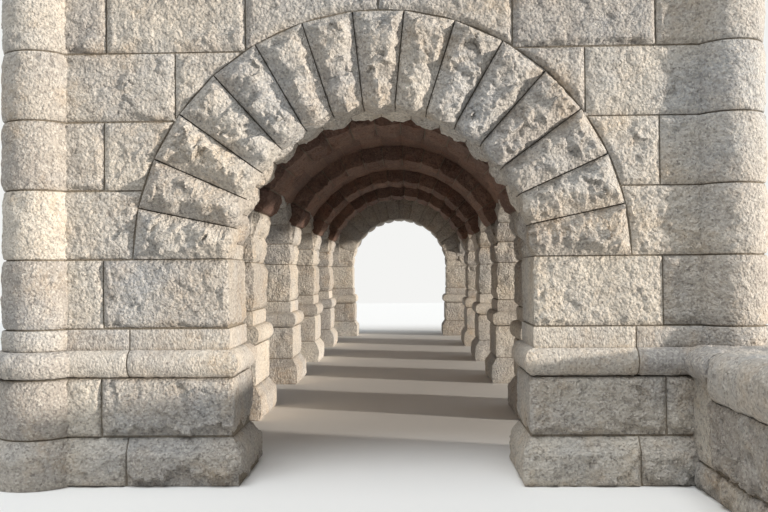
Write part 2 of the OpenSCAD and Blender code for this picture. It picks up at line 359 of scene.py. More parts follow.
def makeQuarryFace():
    # Pushes a face out from its joints: a pitched margin, then broken facets and chips
    tree = bpy.data.node_groups.new("quarryFace", "GeometryNodeTree")
    sockets = tree.interface
    sockets.new_socket("Geometry", in_out="INPUT", socket_type="NodeSocketGeometry")
    for name in ("margin", "bulge", "facet", "chip", "spall", "seed"):
        sockets.new_socket(name, in_out="INPUT", socket_type="NodeSocketFloat")
    sockets.new_socket("Geometry", in_out="OUTPUT", socket_type="NodeSocketGeometry")
    given = addNode(tree, "NodeGroupInput").outputs
    place = addNode(tree, "GeometryNodeInputPosition")
    normal = addNode(tree, "GeometryNodeInputNormal")
    number = {"data_type": "FLOAT"}
    rough, foot = (
        addNode(tree, "GeometryNodeInputNamedAttribute", number, {"Name": name})
        for name in ("rough", "foot")
    )

    # how far a point lies from the nearest joint: an edge where a rough face meets a hidden one
    shows = addNode(tree, "ShaderNodeMath", {"operation": "GREATER_THAN"}, {0: rough, 1: 0.001})
    perFace = addNode(tree, "GeometryNodeFieldOnDomain", {**number, "domain": "FACE"}, {0: shows})
    onJoint = addNode(tree, "ShaderNodeMath", {"operation": "COMPARE"}, {0: perFace, 1: 0.5, 2: 0.45})
    jointEdges = addNode(
        tree,
        "GeometryNodeSeparateGeometry",
        {"domain": "EDGE"},
        {"Geometry": given["Geometry"], "Selection": onJoint},
    )
    nearest = addNode(tree, "GeometryNodeProximity", {"target_element": "EDGES"}, {0: jointEdges})

    # each stone throws its own number, which moves its pattern and sets its shade
    island = addNode(tree, "GeometryNodeInputMeshIsland").outputs["Island Index"]
    seeded = addNode(tree, "ShaderNodeMath", {"operation": "ADD"}, {0: island, 1: given["seed"]})
    dice = addNode(tree, "ShaderNodeTexWhiteNoise", {"noise_dimensions": "1D"}, {"W": seeded})
    shift = addNode(tree, "ShaderNodeMath", {"operation": "MULTIPLY"}, {0: dice, 1: 60.0})

    # what breaks off the lower edges runs along the stone, so its noise is drawn out in height
    drawnOut = {0: place, 1: (1.0, 1.0, 0.2)}
    along = addNode(tree, "ShaderNodeVectorMath", {"operation": "MULTIPLY"}, drawnOut)
    # the waves a metre, detail and roughness of each noise
    noises = {}
    for name, where, scale, detail, roughness in (
        ("margin", place, 5.0, 3.0, 0.65),
        ("warp", place, 9.0, 3.0, 0.6),
        ("lump", place, 7.0, 4.0, 0.62),
        ("peck", place, 22.0, 1.5, 0.6),
        ("spall", along, 4.0, 5.0, 0.6),
    ):
        waves = {"Vector": where, "W": shift, "Scale": scale, "Detail": detail}
        waves["Roughness"] = roughness
        noises[name] = addNode(tree, "ShaderNodeTexNoise", {"noise_dimensions": "4D"}, waves)

    # the margin wanders, so that no two stones rise alike
    spread = {"Value": noises["margin"], "From Min": 0.3, "From Max": 0.7, "To Min": 0.2, "To Max": 1.9}
    wide = addNode(tree, "ShaderNodeMapRange", {}, spread)
    margin = addNode(tree, "ShaderNodeMath", {"operation": "MULTIPLY"}, {0: given["margin"], 1: wide})
    away = {"Value": nearest.outputs["Distance"], "From Max": margin}
    rise = addNode(tree, "ShaderNodeMapRange", {}, away)

    # broken facets: each cell of a warped Voronoi leans its own way
    waves = {0: noises["warp"].outputs["Color"], "Scale": 0.12}
    warp = addNode(tree, "ShaderNodeVectorMath", {"operation": "SCALE"}, waves)
    warped = addNode(tree, "ShaderNodeVectorMath", {"operation": "ADD"}, {0: place, 1: warp})
    cells = addNode(
        tree,
        "ShaderNodeTexVoronoi",
        {"voronoi_dimensions": "4D", "feature": "F1"},
        {"Vector": warped, "W": shift, "Scale": 5.5},
    ).outputs
    reach, lean = (
        addNode(tree, "ShaderNodeVectorMath", {"operation": "SUBTRACT"}, {0: value, 1: taken})
        for value, taken in ((warped, cells["Position"]), (cells["Color"], (0.5, 0.5, 0.5)))
    )
    dot = addNode(tree, "ShaderNodeVectorMath", {"operation": "DOT_PRODUCT"}, {0: reach, 1: lean})
    # the lumps, and the pits and crumbs about 45 mm apart that the point and the hammer leave
    lumps, pecks = (
        addNode(tree, "ShaderNodeMath", {"operation": "MULTIPLY_ADD"}, {0: noise, 1: 3.0, 2: -1.5})
        for noise in (noises["lump"], noises["peck"])
    )
    tilt = {0: dot.outputs["Value"], 1: 18.0, 2: lumps}
    leaning = addNode(tree, "ShaderNodeMath", {"operation": "MULTIPLY_ADD"}, tilt)
    bounded = addNode(tree, "ShaderNodeClamp", {}, {"Value": leaning, "Min": -1.8, "Max": 1.8})
    facets, chips = (
        addNode(tree, "ShaderNodeMath", {"operation": "MULTIPLY"}, {0: shape, 1: given[name]})
        for shape, name in ((bounded, "facet"), (pecks, "chip"))
    )
    swell = addNode(tree, "ShaderNodeMapRange", {}, {"Value": dice, "To Min": 0.7, "To Max": 1.3})
    bulge = {0: given["bulge"], 1: swell, 2: facets}
    height = addNode(tree, "ShaderNodeMath", {"operation": "MULTIPLY_ADD"}, bulge)
    # it rises from the joints, less where the face is smoother, and goes 6 mm in at most
    for operation, value in (("ADD", chips), ("MULTIPLY", rise), ("MULTIPLY", rough), ("MAXIMUM", -0.006)):
        height = addNode(tree, "ShaderNodeMath", {"operation": operation}, {0: height, 1: value})

    # on some stones the lower edge has broken away, up to a ragged line no higher than spall
    level = addNode(tree, "ShaderNodeSeparateXYZ", {}, {"Vector": place}).outputs["Z"]
    above = addNode(tree, "ShaderNodeMath", {"operation": "SUBTRACT"}, {0: level, 1: foot})
    line = {"Value": noises["spall"], "From Min": 0.4, "From Max": 0.66, "To Max": given["spall"]}
    ragged = addNode(tree, "ShaderNodeMapRange", {}, line)
    some = {"Value": dice, "From Min": 0.15, "From Max": 0.45}
    weak = addNode(tree, "ShaderNodeMapRange", {}, some)
    broke = addNode(tree, "ShaderNodeMath", {"operation": "MULTIPLY"}, {0: ragged, 1: weak})
    under = addNode(tree, "ShaderNodeMath", {"operation": "SUBTRACT"}, {0: broke, 1: above})
    bite = addNode(tree, "ShaderNodeMapRange", {}, {"Value": under, "From Max": 0.02})
    hollow = addNode(tree, "ShaderNodeMath", {"operation": "MULTIPLY"}, {0: bite, 1: shows})
    spalled = addNode(tree, "ShaderNodeMix", {}, {0: hollow, 2: height, 3: -0.009})
    outwards = {0: normal, "Scale": spalled}
    offset = addNode(tree, "ShaderNodeVectorMath", {"operation": "SCALE"}, outwards)
    pushed = {"Geometry": given["Geometry"], "Offset": offset}
    moved = addNode(tree, "GeometryNodeSetPosition", {}, pushed)
    shade = {"Geometry": moved, "Name": "tone", "Value": dice}
    toned = addNode(tree, "GeometryNodeStoreNamedAttribute", {**number, "domain": "POINT"}, shade)
    addNode(tree, "NodeGroupOutput", {}, {"Geometry": toned})
    return tree


quarryFace = makeQuarryFace()
pieceCount = 0


def settlePiece(piece, material, place):
    # gives the piece its material and place, and says what it rides on and is made of
    piece.data.materials.clear()
    piece.data.materials.append(material)
    if place is not None:
        piece.matrix_world = place
        bpy.ops.object.transform_apply(location=True, rotation=True, scale=False)
    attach(piece, "root")
    triangles = sum(len(p.vertices) - 2 for p in piece.data.polygons)
    print("piece", piece.name, triangles)


def finishPiece(piece, look, material, place=None):
    # look, all in metres: the mesh's cell, the margin along the joints, and how far the face
    # bulges, its facets lean, its chips stand out and its lower edge has broken away
    global pieceCount
    pieceCount += 1
    refine(look["cell"])
    bpy.ops.object.mode_set(mode="OBJECT")
    modifier = piece.modifiers.new("quarryFace", "NODES")
    modifier.node_group = quarryFace
    for item in quarryFace.interface.items_tree:
        if item.in_out == "INPUT" and item.name in look:
            modifier[item.identifier] = look[item.name]
        if item.in_out == "INPUT" and item.name == "seed":
            modifier[item.identifier] = 100.0 * pieceCount
    bpy.ops.object.modifier_apply(modifier=modifier.name)
    for name in ("done", "foot"):
        piece.data.attributes.remove(piece.data.attributes[name])
    bpy.ops.object.shade_smooth_by_angle(angle=math.radians(50))
    settlePiece(piece, material, place)


# Materials


def makeGranite(name, colours, roughness, grain):
    # grain: how many pits a metre, how deep their bump is in metres, how far they are drawn out
    material = bpy.data.materials.new(name)
    material.use_nodes = True
    tree = material.node_tree
    tree.nodes.clear()
    place = addNode(tree, "ShaderNodeTexCoord").outputs["Object"]
    tone = addNode(tree, "ShaderNodeAttribute", {"attribute_name": "tone"}).outputs["Fac"]
    # the marks of the tools run up and down the stone, stretch times as long as they are wide
    drawnOut = {0: place, 1: (1.0, 1.0, 1.0 / grain["stretch"])}
    strokes = addNode(tree, "ShaderNodeVectorMath", {"operation": "MULTIPLY"}, drawnOut)
    # clouds of shade 600 mm wide, rust 370 mm, weather 900 mm, and the broken hollows
    noises = {}
    for kind, where, scale, detail, rough in (
        ("clouds", place, 1.6, 5.0, 0.6),
        ("rust", place, 2.7, 6.0, 0.68),
        ("weather", place, 1.1, 4.0, 0.55),
        ("pit", strokes, grain["pits"], 5.0, 0.62),
    ):
        waves = {"Vector": where, "Scale": scale, "Detail": detail, "Roughness": rough}
        noises[kind] = addNode(tree, "ShaderNodeTexNoise", {}, waves)
    # crystals of mica and feldspar, drawn 16 mm wide so that they show; real ones are 4 mm wide
    crystal = addNode(tree, "ShaderNodeTexVoronoi", {}, {"Vector": place, "Scale": 62.0})
    flecks = addNode(tree, "ShaderNodeSeparateColor", {}, {"Color": crystal.outputs["Color"]})

    # each stone has its own shade
    blend = {0: tone, 1: 0.55, 2: noises["clouds"]}
    blended = addNode(tree, "ShaderNodeMath", {"operation": "MULTIPLY_ADD"}, blend)
    shade = {"Value": blended, "From Min": 0.42, "From Max": 1.05}
    shaded = addNode(tree, "ShaderNodeMapRange", {}, shade)
    both = {0: shaded, 6: linear(colours["light"]), 7: linear(colours["dark"])}
    body = addNode(tree, "ShaderNodeMix", {"data_type": "RGBA"}, both).outputs[2]
    # over it rust from the iron in the granite, cooler grey where it has weathered, the two crystals, and
    # dirt with painted shade in the hollows: from where to where each shows, and how much at most
    for value, low, high, most, colour in (
        (noises["rust"], 0.5, 0.72, 0.5, "stain"),
        (noises["weather"], 0.45, 0.7, 0.6, "cool"),
        (flecks.outputs[0], 0.65, 0.95, 0.4, "mica"),
        (flecks.outputs[1], 0.6, 0.95, 0.4, "feldspar"),
        # the deep parts of the pits are darkened towards the mica colour: dirt and painted shade
        (noises["pit"], 0.45, 0.28, 0.6, "mica"),
    ):
        limits = {"Value": value, "From Min": low, "From Max": high, "To Max": most}
        share = addNode(tree, "ShaderNodeMapRange", {}, limits)
        layer = {0: share, 6: body, 7: linear(colours[colour])}
        body = addNode(tree, "ShaderNodeMix", {"data_type": "RGBA"}, layer).outputs[2]

    pits = {"Height": noises["pit"], "Distance": grain["depth"] * 2.0}
    pitted = addNode(tree, "ShaderNodeBump", {}, pits)
    # crumbs twice as fine, which the point leaves between its strokes
    fine = {"Vector": strokes, "Scale": grain["pits"] * 2.0}
    crumb = addNode(tree, "ShaderNodeTexVoronoi", {"feature": "F1"}, fine).outputs["Distance"]
    crumbs = {"Height": crumb, "Distance": grain["depth"] / 2, "Normal": pitted}
    crumbly = addNode(tree, "ShaderNodeBump", {"invert": True}, crumbs)
    surface = {"Base Color": body, "Roughness": roughness, "Normal": crumbly, "IOR": 1.54}
    shader = addNode(tree, "ShaderNodeBsdfPrincipled", {}, surface)
    addNode(tree, "ShaderNodeOutputMaterial", {}, {"Surface": shader})
    return material


# Buff-grey granite: pale and warm, with cooler weathered clouds, rust and dark specks
graniteColours = {
    "light": "#cdc3b4",
    "dark": "#a59c92",
    "stain": "#b89c78",
    "cool": "#a1a4a7",
    "mica": "#5c5651",
    "feldspar": "#e0d8cb",
}
# the same granite under the vault, painted darker and red-brown: painted shade and painted warm bounce
# light
paintedShadeColours = {
    "light": "#8d6f5f",
    "dark": "#654b40",
    "stain": "#87543c",
    "cool": "#6d5c56",
    "mica": "#382c28",
    "feldspar": "#977f6d",
}
# lime mortar, darker than the stones so that the joints read as lines
mortarColours = {
    "light": "#857a69",
    "dark": "#655c50",
    "stain": "#77644c",
    "cool": "#6a6863",
    "mica": "#453f39",
    "feldspar": "#998f82",
}
# Broken off with the pitching tool, granite is matt and deeply pitted; the point leaves it
# finer, and dressed with the chisel it is nearly even, with strokes that run up and down
pitchedGrain = {"pits": 20.0, "depth": 0.023, "stretch": 1.0}
pointedGrain = {"pits": 22.0, "depth": 0.018, "stretch": 1.0}
tooledGrain = {"pits": 32.0, "depth": 0.01, "stretch": 1.4}
vaultGrain = {"pits": 18.0, "depth": 0.014, "stretch": 1.0}
mortarGrain = {"pits": 40.0, "depth": 0.004, "stretch": 1.0}
quarryGranite = makeGranite("quarryFacedGranite", graniteColours, 0.85, pitchedGrain)
pitchedGranite = makeGranite("pitchedGranite", graniteColours, 0.85, pitchedGrain)
pointedGranite = makeGranite("pointedGranite", graniteColours, 0.8, pointedGrain)
tooledGranite = makeGranite("tooledGranite", graniteColours, 0.8, tooledGrain)
# the granite of the passage, its colours darkened and reddened as painted shade and painted bounce light
paintedShadeGranite = makeGranite("paintedShadeGranite", paintedShadeColours, 0.9, vaultGrain)
mortar = makeGranite("limeMortar", mortarColours, 0.95, mortarGrain)

for name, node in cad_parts.items():
    node.data.materials.clear()
    # the vault's parts take the granite with painted shade
    node.data.materials.append(paintedShadeGranite if name.startswith("vault") else mortar)
print("stage: materials")


# The end walls: the front as it stands, and the rear built like it, coarser, and turned round

doorway = {"radius": 1.24, "ring": 2.0, "voussoirs": 15, "frontLayer": 0.33}
farFace = {"cell": 0.045, "margin": 0.045, "bulge": 0.024, "facet": 0.01, "chip": 0.01}
wallStones = {
    # the joints of each course on the right, from the springing up and from the ring out
    "joints": [[], [2.24], [1.655], [0.0, 1.08, 2.22], [0.55, 1.66]],
    "ringGap": 0.02,
    "cornerGap": 0.02,
    "front": {"cell": 0.015, "margin": 0.035, "bulge": 0.026, "facet": 0.009, "chip": 0.011, "spall": 0.07},
    "rear": farFace,
}
ringStones = {
    "gap": 0.01,
    # the second layer: its joints, and how far it lies behind the first and outside its soffit
    "backGap": 0.006,
    "seam": 0.004,
    "backStep": 0.01,
    "sides": {"-y": 1.0, "-z": 0.35},
    "backSides": {"+y": 0.6, "-z": 0.45},
    "front": {"cell": 0.016, "margin": 0.09, "bulge": 0.08, "facet": 0.028, "chip": 0.012},
    "rear": {"cell": 0.05, "margin": 0.06, "bulge": 0.045, "facet": 0.022, "chip": 0.01},
}
# the mortar is a solid half ring, this far inside the faces of the voussoirs
ringMortar = {"inner": 0.03, "outer": 0.02, "face": 0.03, "steps": 45}
jambBase = {
    "joints": {"plinth": 2.03, "upper": 2.25, "torus": 2.03, "band": 2.03, "course": 2.25},
    "roughness": {"plinth": 1.0, "upper": 0.9, "torus": 0.6, "band": 0.7, "course": 1.0},
    # the sides towards X: how far they stand out, and their share of the roughness
    "skin": 0.004,
    "sideShare": 0.4,
    "front": {"cell": 0.018, "margin": 0.03, "bulge": 0.04, "facet": 0.014, "chip": 0.01, "spall": 0.2},
    "rear": farFace,
}
jambMouldings = {
    "front": {"cell": 0.022, "margin": 0.02, "bulge": 0.012, "facet": 0.005, "chip": 0.008},
    "rear": {"cell": 0.045, "margin": 0.02, "bulge": 0.012, "facet": 0.005, "chip": 0.008},
}
column = {
    "x": 2.81,
    "inset": 0.1,
    "radius": 0.27,
    "rim": 0.012,
    "torusRim": 0.1,
    "baseRoughness": 0.8,
    "leastDrum": 0.1,
    "front": {"cell": 0.02, "margin": 0.06, "bulge": 0.014, "facet": 0.006, "chip": 0.01},
    "rear": {"cell": 0.09, "margin": 0.06, "bulge": 0.018, "facet": 0.006, "chip": 0.008},
}
# a bell under a thin slab; the levels are measured down from the top of the wall
capital = {
    "foot": 0.23,
    "bellTop": 0.06,
    "slabFoot": 0.057,
    "out": 0.06,
    "slabOut": 0.006,
    "bellRim": 0.055,
    "slabRim": 0.01,
    "roughness": 0.2,
}
turnRound = (
    Matrix.Translation((0, middleY, 0))
    @ Matrix.Rotation(math.pi, 4, "Z")
    @ Matrix.Translation((0, -middleY, 0))
)


def endWall(name, look, place):
    # The courses beside and over the ring. Those over its crown, from the fourth on, start at
    # the middle, and the fifth has one stone across it, made with the right side
    piece = startPiece(name)
    depth = (front - skin, front + joint["depth"])
    ring = doorway["ring"] - half + wallStones["ringGap"]
    edge = house["outer"] - wallStones["cornerGap"]
    crown = 3
    for side in (-1, 1):
        for k, stops in enumerate(wallStones["joints"]):
            low = spring + k * house["course"] + half
            high = low + house["course"] - joint["gap"]
            start = None if k < crown else 0.0
            for stop in [x for x in stops if x > 0] + [edge]:
                q = stop - half
                if start is None:
                    addFlankStone(ring, q, low, high, side, depth, 3)
                elif k == crown and start == 0:
                    addCrownStone(ring, half, q, low, high, side, depth)
                elif k == crown or start > 0 or side > 0:
                    p = start + half if start > 0 or k == crown else -stops[0] + half
                    a, b = sorted((side * p, side * q))
                    addStone((a, depth[0], low), (b, depth[1], high), wallFace)
                start = stop
    finishPiece(piece, look, quarryGranite, place)


def endRing(name, look, replaced, place):
    # bevelled voussoirs, and a second layer behind them with its joints between theirs
    piece = startPiece(name)
    count = doorway["voussoirs"]
    inner, outer = doorway["radius"], doorway["ring"] - half
    layer = front + doorway["frontLayer"]
    depth = (front - skin, layer)
    for turn in ringTurns(count):
        addVoussoir((inner, outer), turn, depth, ringStones["sides"], ringStones["gap"])
    inner += ringStones["backStep"]
    depth = (layer + ringStones["seam"], front + house["endWall"] + skin)
    for turn in ringTurns(count, broken=True):
        addVoussoir((inner, outer), turn, depth, ringStones["backSides"], ringStones["backGap"])
    finishPiece(piece, look, pitchedGranite, place)
    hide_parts(replaced)


def ringCore(name, place):
    # the mortar behind and between the voussoirs, spun round the arch
    piece = startPiece(name)
    inner = doorway["radius"] + ringMortar["inner"]
    outer = doorway["ring"] - ringMortar["outer"]
    middle = ((inner + outer) / 2, front + house["endWall"] / 2, spring)
    bpy.ops.mesh.primitive_plane_add(size=1, location=middle)
    thickness = house["endWall"] - 2 * ringMortar["face"]
    bpy.ops.transform.resize(value=(outer - inner, thickness, 1))
    bpy.ops.mesh.spin(
        steps=ringMortar["steps"], angle=math.pi, center=(0, front, spring), axis=(0, 1, 0)
    )
    bpy.ops.mesh.select_all(action="SELECT")
    bpy.ops.mesh.normals_make_consistent(inside=False)
    bpy.ops.object.mode_set(mode="OBJECT")
    settlePiece(piece, mortar, place)


def baseStones(inner, y0, y1, layer, cut, roughness, sideSkin, sideShare):
    # One layer of the moulded base on both sides of the passage, from inner out to the outer
    # side, with one joint at cut. Its sides towards X get their own skin and less roughness
    z0, z1, out = base[layer]
    bottom = z0 + (half if z0 > 0 and layer != "band" else 0)
    top = z1 - (half if layer != "torus" else 0)
    ahead, behind = y0 - out - skin, y1 + out + skin
    for x0, x1, at in ((inner, house["outer"], cut), (-house["outer"], -inner, -cut)):
        left, right = x0 - out - sideSkin, x1 + out + sideSkin
        for a, b, end in ((left, at - half, "-x"), (at + half, right, "+x")):
            shown = {"-y": roughness, "+y": roughness, end: roughness * sideShare}
            low, high = (a, ahead, bottom), (b, behind, top)

            def outward(c, d):
                onEnd = abs(d.y) > 1e-4 and abs(c.x - (a if end == "-x" else b)) < 1e-4
                return abs(d.z) < 1e-4 and (onEnd or abs(d.x) > 1e-4)

            if layer == "torus":
                width = (z1 - z0) / 2 - torusFlat
                addRoundedStone(low, high, shown, width, 6, outward, smooth=roughness)
            elif layer == "plinth":
                addSlopedStone(low, high, shown, out - base["upper"][2])
            else:
                addStone(low, high, shown)


def jambStones(name, layers, look, material, place):
    # some layers of both jambs of the doorway
    piece = startPiece(name)
    back = front + house["endWall"]
    for layer in layers:
        cut, roughness = jambBase["joints"][layer], jambBase["roughness"][layer]
        sides = (jambBase["skin"], jambBase["sideShare"])
        baseStones(doorway["radius"], front, back, layer, cut, roughness, *sides)
    finishPiece(piece, look, material, place)


def cornerColumn(name, side, look, place):
    piece = startPiece(name)
    x, y, radius = side * column["x"], front + column["inset"], column["radius"] + skin
    z0, z1, out = base["plinth"]
    addSlopedDrum(x, y, radius + out, z1 - half, 1.0, out - base["upper"][2])
    for layer in ("upper", "torus", "band"):
        z0, z1, out = base[layer]
        rim, segments = (column["torusRim"], 6) if layer == "torus" else (column["rim"], 2)
        bottom = z0 + (half if layer != "band" else 0)
        top = z1 - (half if layer != "torus" else 0)
        addDrum(x, y, radius + out, bottom, top, column["baseRoughness"], rim, segments)
    z = base["band"][1]
    wallTop = house["wallTop"]
    capitalFoot = wallTop - capital["foot"]
    while z < capitalFoot - column["leastDrum"]:
        top = min(z + house["course"], capitalFoot) - half
        addDrum(x, y, radius, z + half, top, 1.0, column["rim"], 2)
        z += house["course"]
    radius += capital["out"]
    bellTop = wallTop - capital["bellTop"]
    rough = capital["roughness"]
    addDrum(x, y, radius, capitalFoot + half, bellTop, rough, capital["bellRim"], 4)
    radius += capital["slabOut"]
    addDrum(x, y, radius, wallTop - capital["slabFoot"], wallTop, rough, capital["slabRim"], 2)
    finishPiece(piece, look, pointedGranite, place)


for end, place in (("front", None), ("rear", turnRound)):
    endWall(end + "WallStones", wallStones[end], place)
    endRing(end + "RingStones", ringStones[end], end + "_arch", place)
    ringCore(end + "RingMortar", place)
    jambStones(end + "PlinthStones", rockLayers, jambBase[end], quarryGranite, place)
    jambStones(end + "JambStones", ("course",), wallStones[end], quarryGranite, place)
    jambStones(end + "JambMouldings", mouldedLayers, jambMouldings[end], tooledGranite, place)
    for side in (-1, 1):
        label = "Left" if (side < 0) == (end == "front") else "Right"
        cornerColumn(end + "Column" + label, side, column[end], place)
    print("stage:", end)


# The passage: piers, ribs and vault

pier = {
    # the joints move by this on every other pier
    "shifts": (-0.1, 0.12),
    "joints": {"plinth": 2.3, "upper": 2.1, "torus": 2.3, "band": 2.3, "course": 2.1},
    "roughness": {"plinth": 0.9, "upper": 0.7, "torus": 0.4, "band": 0.4, "course": 0.9},
    "sideShare": 0.9,
    # from this pier on the mesh is coarser
    "farFrom": 3,
    "farCell": 0.055,
    "course": {"cell": 0.036, "margin": 0.06, "bulge": 0.05, "facet": 0.018, "chip": 0.014},
    "base": {"cell": 0.036, "margin": 0.03, "bulge": 0.026, "facet": 0.01, "chip": 0.01},
}
rib = {
    "stones": 17,
    "feet": 2,
    "behind": 0.05,
    "sides": {"-z": 0.8, "-y": 0.7, "+y": 0.7},
    "look": {"cell": 0.04, "margin": 0.045, "bulge": 0.036, "facet": 0.026, "chip": 0.014},
}
vault = {
    "courses": 11,
    "behind": 0.06,
    "joints": (1.3, 0.95),
    "sides": {"-z": 0.6},
    "look": {"cell": 0.06, "margin": 0.06, "bulge": 0.01, "facet": 0.006, "chip": 0.004},
}
sideArch = {
    "radius": 1.1,
    "ring": 1.46,
    "voussoirs": 11,
    "out": 0.033,
    # how deep the first row of stones is, and how thick those of the two rows behind it are
    "row": 0.45,
    "behind": (0.08, 0.32),
    "sides": ({"-z": 0.6, "-y": 1.0}, {"-z": 0.6}, {"-z": 0.6, "+y": 0.8}),
}


def bayStart(k):
    return front + house["endWall"] + (k - 1) * bayStep


def pierStones(name, k, layers, look, material):
    # some layers of the two piers on either side of the passage, round all four sides
    piece = startPiece(name)
    y0 = bayStart(k) + gallery["bay"]
    y1 = y0 + gallery["pier"]
    shift = pier["shifts"][k % 2]
    if k >= pier["farFrom"]:
        look = {**look, "cell": pier["farCell"]}
    for layer in layers:
        cut, roughness = pier["joints"][layer] + shift, pier["roughness"][layer]
        baseStones(gallery["half"], y0, y1, layer, cut, roughness, skin, pier["sideShare"])
    finishPiece(piece, look, material)


def ribStones(name, k, stones, material):
    # some of the stones of a rib, numbered round the arch from left to right
    piece = startPiece(name)
    y0 = bayStart(k) + gallery["bay"] - skin
    depth = (y0, y0 + gallery["pier"] + 2 * skin)
    radii = (gallery["half"] - skin, gallery["vault"] + rib["behind"])
    turns = ringTurns(rib["stones"])
    for i in stones:
        addVoussoir(radii, turns[i], depth, rib["sides"])
    finishPiece(piece, rib["look"], material)


def vaultStones(name, k):
    # the courses of the barrel above the crowns of the side arches
    piece = startPiece(name)
    rise = math.degrees(math.asin(sideArch["radius"] / gallery["vault"]))
    count = vault["courses"]
    step = (180 - 2 * rise) / count
    radii = (gallery["vault"] - skin, gallery["vault"] + vault["behind"])
    y0 = bayStart(k)
    for i in range(count):
        turn = ((i - (count - 1) / 2) * step, step)
        cut = y0 + vault["joints"][i % 2]
        for depth in ((y0 + half, cut - half), (cut + half, y0 + gallery["bay"] - half)):
            addVoussoir(radii, turn, depth, vault["sides"])
    # the vault stones take the granite with painted shade
    finishPiece(piece, vault["look"], paintedShadeGranite)


for k in range(1, gallery["bays"]):
    number, last = str(k), rib["stones"] - rib["feet"]
    feet = [*range(rib["feet"]), *range(last, rib["stones"])]
    pierStones("pierStones" + number, k, ("course",), pier["course"], quarryGranite)
    pierStones("pierBase" + number, k, rockLayers + mouldedLayers, pier["base"], tooledGranite)
    # the feet of each rib keep the plain granite, and the stones above them take the granite with painted
    # shade
    ribStones("ribFeet" + number, k, feet, quarryGranite)
    ribStones("ribStones" + number, k, range(rib["feet"], last), paintedShadeGranite)
for k in range(1, gallery["bays"] + 1):
    vaultStones("vaultStones" + str(k), k)
print("stage: passage")


# The side walls, built facing -Y round the middle of a bay and turned to face left or right

# how far the joints of a course lie from the middle of the bay
sideWall = {"crown": (0.6, 1.2), "fourth": 1.0, "fifth": 0.5}
# over a pier: half the width of the stone in the third and the fourth course, and how far from
# the middle of the first and the last pier the stones end at the corner column
pierWall = {"halves": {2: 0.3, 3: 0.5}, "corner": 0.2}


def sidePlace(side, y):
    turn = Matrix.Rotation(side * math.pi / 2, 4, "Z")
    return Matrix.Translation((side * house["outer"], y, 0)) @ turn


def sideBay(name, place):
    piece = startPiece(name)
    depth = (-skin, joint["depth"])
    ring = sideArch["ring"] + half
    reach = bayStep / 2
    levels = [spring + i * house["course"] for i in range(6)]

    def addCourseStone(a, b, k):
        a, b = sorted((a, b))
        low, high = (a, depth[0], levels[k] + half), (b, depth[1], levels[k + 1] - half)
        addStone(low, high, wallFace)

    for side in (-1, 1):
        low, high = levels[1] + half, levels[2] - half
        addFlankStone(ring, reach - half, low, high, side, depth, 4)
        low, high = levels[2] + half, levels[3] - half
        stops = (0, *sideWall["crown"])
        for a, b in zip(stops, stops[1:]):
            addCrownStone(ring, a + half, b - half, low, high, side, depth)
        addCourseStone(side * half, side * (sideWall["fourth"] - half), 3)
        addCourseStone(side * (sideWall["fifth"] + half), side * (reach - half), 4)
    addCourseStone(-sideWall["fifth"] + half, sideWall["fifth"] - half, 4)
    finishPiece(piece, farFace, quarryGranite, place)


def sidePierWall(name, place, left, right):
    # the stones over a pier, between the rings of two side arches, from left to right at most
    piece = startPiece(name)
    ring = sideArch["ring"] + half
    course = house["course"]
    y0, y1 = -skin, joint["depth"]

    def ends(z):
        gap = bayStep / 2 - arcX(ring, z)
        return (max(-gap, left), min(gap, right))

    addStripStone(evenly(spring + half, spring + course - half, 4), ends, y0, y1, wallFace)
    for k, width in pierWall["halves"].items():
        a, b = max(-width + half, left), min(width - half, right)
        low = spring + k * course + half
        addStone((a, y0, low), (b, y1, low + course - joint["gap"]), wallFace)
    finishPiece(piece, farFace, quarryGranite, place)


def sideRing(name, place):
    # the ring of the side arch, and two rows of soffit stones behind it
    piece = startPiece(name)
    first = sideArch["row"]
    thickness = house["outer"] - gallery["half"]
    second = first + (thickness - first) / 2
    inner = sideArch["radius"] - skin
    outers = [sideArch["radius"] + behind for behind in sideArch["behind"]]
    rows = (
        (-sideArch["out"], first - half, sideArch["ring"] - half),
        (first + half, second - half, outers[0]),
        (second + half, thickness + skin, outers[1]),
    )
    for row, (start, end, outer) in enumerate(rows):
        for turn in ringTurns(sideArch["voussoirs"], broken=row == 1):
            addVoussoir((inner, outer), turn, (start, end), sideArch["sides"][row])
    finishPiece(piece, ringStones["rear"], pitchedGranite, place)


for side, label in ((-1, "Left"), (1, "Right")):
    middle = gallery["bay"] / 2
    for k in range(1, gallery["bays"] + 1):
        place = sidePlace(side, bayStart(k) + middle)
        sideBay("sideWall" + label + str(k), place)
        sideRing("sideRing" + label + str(k), place)
    for k in range(gallery["bays"] + 1):
        left, right = -math.inf, math.inf
        if k == (0 if side > 0 else gallery["bays"]):
            left = -pierWall["corner"]
        elif k in (0, gallery["bays"]):
            right = pierWall["corner"]
        y = bayStart(1) + middle + (k - 0.5) * bayStep
        sidePierWall("sidePierWall" + label + str(k), sidePlace(side, y), left, right)
print("stage: sides")


# The top: cornice, parapet, corner blocks and deck

topFace = {"cell": 0.09, "margin": 0.06, "bulge": 0.02, "facet": 0.01, "chip": 0.006}
